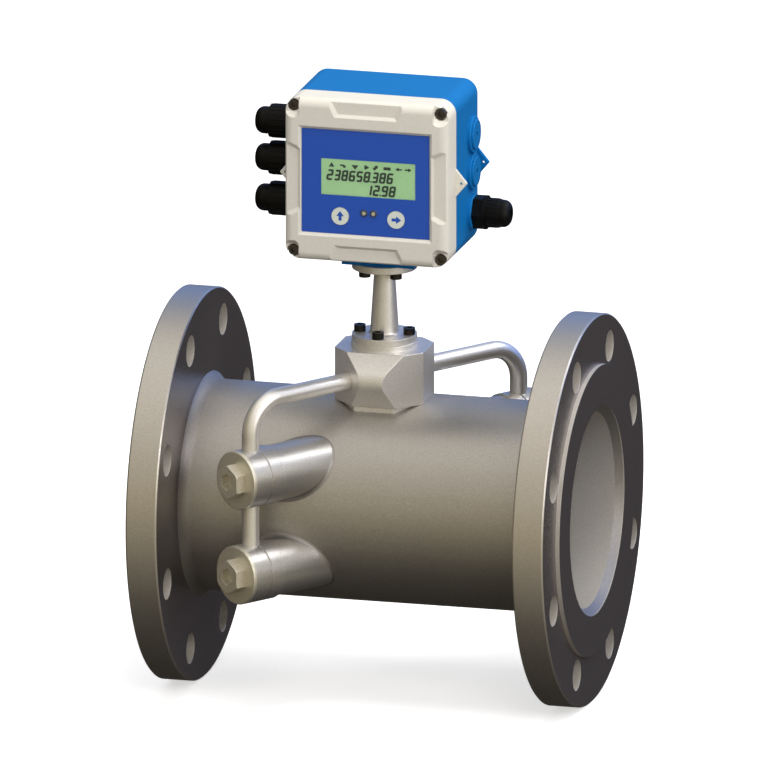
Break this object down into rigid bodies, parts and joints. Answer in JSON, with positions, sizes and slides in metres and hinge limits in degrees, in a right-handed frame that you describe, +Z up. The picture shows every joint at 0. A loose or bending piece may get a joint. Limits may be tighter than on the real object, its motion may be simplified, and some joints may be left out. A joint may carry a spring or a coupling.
{
  "type": "ultrasonic flow meter",
  "caption": "Flanged inline ultrasonic flow meter: pipe spool with crossing sensor pockets, conduit tubes, junction block, post and display housing with cable glands.",
  "frame": {"origin": "on the measuring pipe's axis, midway between the two flange faces", "axes": "+X along the pipe with the flow, +Y away from the display, +Z up from the pipe to the housing"},
  "size_m": [0.317, 0.285, 0.4488],
  "materials": {
    "pipe_steel": "bead blasted stainless steel",
    "flange_steel": "stainless steel with dark faces and turned rims",
    "weld_steel": "brushed weld bead",
    "fitting_steel": "bead blasted stainless steel",
    "tube_steel": "satin stainless tube",
    "block_steel": "cast and blasted stainless steel",
    "screw_black": "black oxide",
    "screw_steel": "zinc plated steel",
    "housing_blue": "satin powder coat",
    "lid_white": "satin powder coat",
    "panel_blue": "printed film, satin",
    "window_clear": "clear window",
    "display_green": "reflective display",
    "board_green": "solder mask",
    "key_white": "satin",
    "switch_black": "satin",
    "light_clear": "clear light guide",
    "gland_black": "satin nylon",
    "seal_rubber": "matt",
    "pillar_brass": "nickel free brass",
    "sensor_grey": "satin",
    "terminal_green": "satin",
    "plug_blue": "satin powder coat"
  },
  "bodies": {
    "meter": {"blanking_plug_middle": "plug_blue", "blanking_plug_upper": "plug_blue", "board_pillars": "pillar_brass", "board_screws": "screw_steel", "cap_front_lower": "fitting_steel", "cap_front_upper": "fitting_steel", "cap_rear_lower": "fitting_steel", "cap_rear_upper": "fitting_steel", "cap_seals": "seal_rubber", "collar_front_lower": "fitting_steel", "collar_front_upper": "fitting_steel", "collar_rear_lower": "fitting_steel", "collar_rear_upper": "fitting_steel", "display_board": "board_green", "display_module": "display_green", "display_window": "window_clear", "elbow_tube_front": "tube_steel", "elbow_tube_rear": "tube_steel", "flange_welds": "weld_steel", "front_panel": "panel_blue", "gland_body_left_lower": "gland_black", "gland_body_left_middle": "gland_black", "gland_body_left_upper": "gland_black", "gland_body_right": "gland_black", "gland_cap_left_lower": "gland_black", "gland_cap_left_middle": "gland_black", "gland_cap_left_upper": "gland_black", "gland_cap_right": "gland_black", "gland_seals": "seal_rubber", "housing_base": "housing_blue", "housing_lid": "lid_white", "indicator_lights": "light_clear", "inlet_flange": "flange_steel", "junction_block": "block_steel", "key_switches": "switch_black", "lid_gasket": "seal_rubber", "lid_screws": "screw_steel", "link_tube_front": "tube_steel", "link_tube_rear": "tube_steel", "lower_post_screws": "screw_black", "main_board": "board_green", "measuring_pipe": "pipe_steel", "outlet_flange": "flange_steel", "pocket_front_lower": "fitting_steel", "pocket_front_upper": "fitting_steel", "pocket_rear_lower": "fitting_steel", "pocket_rear_upper": "fitting_steel", "pocket_welds": "weld_steel", "post": "fitting_steel", "sensor_front_lower": "sensor_grey", "sensor_front_upper": "sensor_grey", "sensor_rear_lower": "sensor_grey", "sensor_rear_upper": "sensor_grey", "terminal_blocks": "terminal_green", "upper_post_screws": "screw_black"},
    "key_up": {"key_up": "key_white"},
    "key_right": {"key_right": "key_white"}
  },
  "joints": [
    {"name": "key_up_press", "type": "slide", "parent": "meter", "child": "key_up", "axis": [0, 1, 0], "range_m": [0, 0.0008], "stiffness_N_per_m": 500},
    {"name": "key_right_press", "type": "slide", "parent": "meter", "child": "key_right", "axis": [0, 1, 0], "range_m": [0, 0.0008], "stiffness_N_per_m": 500}
  ]
}
